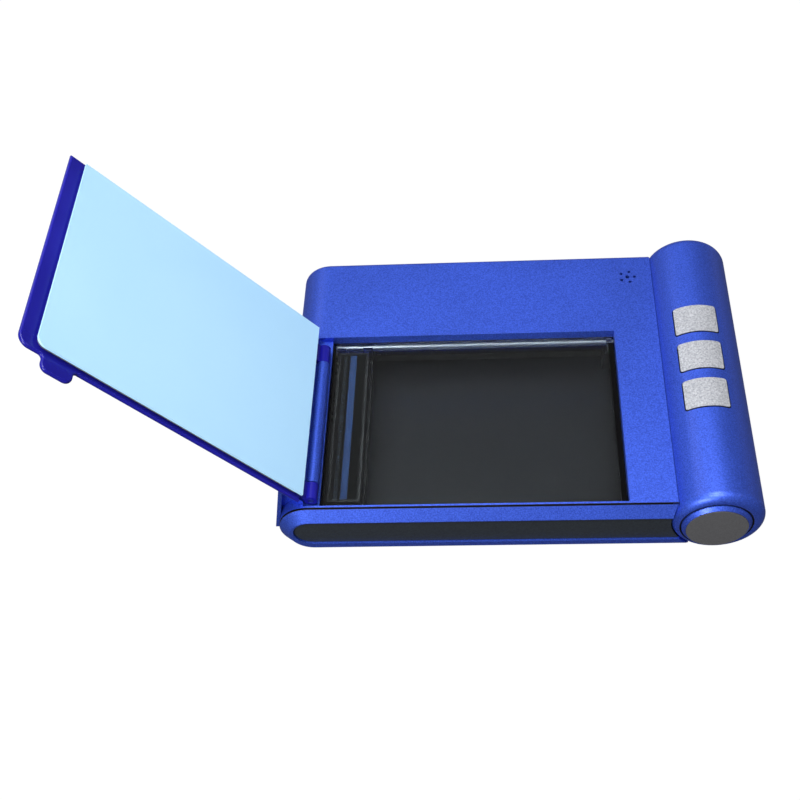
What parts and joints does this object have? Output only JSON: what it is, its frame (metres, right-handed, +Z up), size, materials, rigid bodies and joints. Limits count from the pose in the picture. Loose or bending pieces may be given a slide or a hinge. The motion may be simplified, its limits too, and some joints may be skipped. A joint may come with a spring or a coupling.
{
  "type": "passport_reader",
  "caption": "Flatbed document reader: hinged lid over a glass scan window in a recessed deck, round console with push buttons along the right side, belt-driven scanning carriage inside.",
  "frame": {"origin": "middle of the four feet's resting face on the desk", "axes": "+X from the lid's hinge to the console, +Y from the front bezel to the back, +Z up"},
  "size_m": [0.2925, 0.1611, 0.145],
  "materials": {
    "blue_paint": "satin metallic blue lacquer on moulded ABS",
    "lid_blue": "deep blue-violet moulded plastic",
    "white_board": "smooth white reference board, cool in tone",
    "foam": "dark grey closed-cell foam",
    "silver_button": "coarse silver paint",
    "grey_trim": "mid grey moulded plastic, spark-eroded grain",
    "dark_trim": "near black moulded plastic, spark-eroded grain",
    "polished_steel": "hardened shaft, ground and polished",
    "lens_black": "dark rod lenses set in black",
    "window": "clear polished float glass",
    "steel": "ground steel",
    "zinc": "bright zinc plate",
    "black_plastic": "black moulded plastic",
    "rubber": "soft black rubber",
    "board_green": "green circuit board",
    "light_guide": "blue-tinted acrylic light guide, unlit",
    "brass": "turned brass",
    "acetal": "natural white acetal"
  },
  "bodies": {
    "case": {"base_housing": "blue_paint", "top_cover": "blue_paint", "console_cover": "blue_paint", "console_front_cap": "blue_paint", "console_rear_cap": "blue_paint", "front_cap_disc": "grey_trim", "rear_cap_disc": "grey_trim", "front_bezel": "blue_paint", "front_panel": "dark_trim", "window_glass": "window", "hinge_housing": "blue_paint", "hinge_pin": "steel", "hinge_screws": "zinc", "button_board": "board_green", "button_board_screws": "zinc", "switch_bodies": "black_plastic", "guide_shaft": "polished_steel", "shaft_clips": "steel", "drive_belt": "rubber", "idler_axle": "steel", "idler_bracket": "zinc", "idler_spring": "steel", "drive_axle": "steel", "motor_plate": "zinc", "stepper_motor": "steel", "motor_screws": "zinc", "main_board": "board_green", "board_chips": "black_plastic", "capacitors": "black_plastic", "board_connectors": "acetal", "usb_socket": "zinc", "board_screws": "zinc", "home_switch": "black_plastic", "beeper": "black_plastic", "rubber_feet": "rubber", "housing_screws": "zinc"},
    "lid": {"lid_shell": "lid_blue", "lid_foam_pad": "foam", "lid_backing_board": "white_board"},
    "back_button": {"button_back": "silver_button", "plunger_back": "black_plastic"},
    "middle_button": {"button_middle": "silver_button", "plunger_middle": "black_plastic"},
    "front_button": {"button_front": "silver_button", "plunger_front": "black_plastic"},
    "scan_carriage": {"sensor_carriage": "black_plastic", "sensor_module": "black_plastic", "sensor_window": "window", "light_bar": "light_guide", "lens_bar": "lens_black", "sensor_springs": "steel", "carriage_slider": "acetal", "belt_clamp": "black_plastic"},
    "idler": {"idler_pulley": "acetal"},
    "drive_wheel": {"drive_gear": "acetal"},
    "motor_rotor": {"motor_pinion": "brass", "motor_shaft": "steel"}
  },
  "joints": [
    {"name": "lid_hinge", "type": "hinge", "parent": "case", "child": "lid", "pos_m": [-0.0905, -0.027, 0.032], "axis": [0, 1, 0], "range_deg": [0, 129]},
    {"name": "carriage_slide", "type": "slide", "parent": "case", "child": "scan_carriage", "axis": [1, 0, 0], "range_m": [0, 0.112]},
    {"name": "drive_gear_spin", "type": "hinge", "parent": "case", "child": "drive_wheel", "pos_m": [0.061, 0.0349, 0.009], "axis": [0, 0, 1], "range_deg": [0, 1834.5]},
    {"name": "idler_spin", "type": "hinge", "parent": "case", "child": "idler", "pos_m": [-0.088, 0.0349, 0.009], "axis": [0, 0, 1], "range_deg": [0, 1834.5]},
    {"name": "motor_spin", "type": "hinge", "parent": "case", "child": "motor_rotor", "pos_m": [0.04965, 0.04145, 0.015], "axis": [0, 0, 1], "range_deg": [-6112.5, 0]},
    {"name": "back_button_press", "type": "slide", "parent": "case", "child": "back_button", "axis": [0.0889, 0, -0.996], "range_m": [0, 0.0008], "stiffness_N_per_m": 600},
    {"name": "middle_button_press", "type": "slide", "parent": "case", "child": "middle_button", "axis": [0.0889, 0, -0.996], "range_m": [0, 0.0008], "stiffness_N_per_m": 600},
    {"name": "front_button_press", "type": "slide", "parent": "case", "child": "front_button", "axis": [0.0889, 0, -0.996], "range_m": [0, 0.0008], "stiffness_N_per_m": 600}
  ],
  "couplings": [
    {"joint": "drive_gear_spin", "follows": "carriage_slide", "rad_per_m": 285.71},
    {"joint": "idler_spin", "follows": "carriage_slide", "rad_per_m": 285.71},
    {"joint": "motor_spin", "follows": "carriage_slide", "rad_per_m": -952.38}
  ]
}
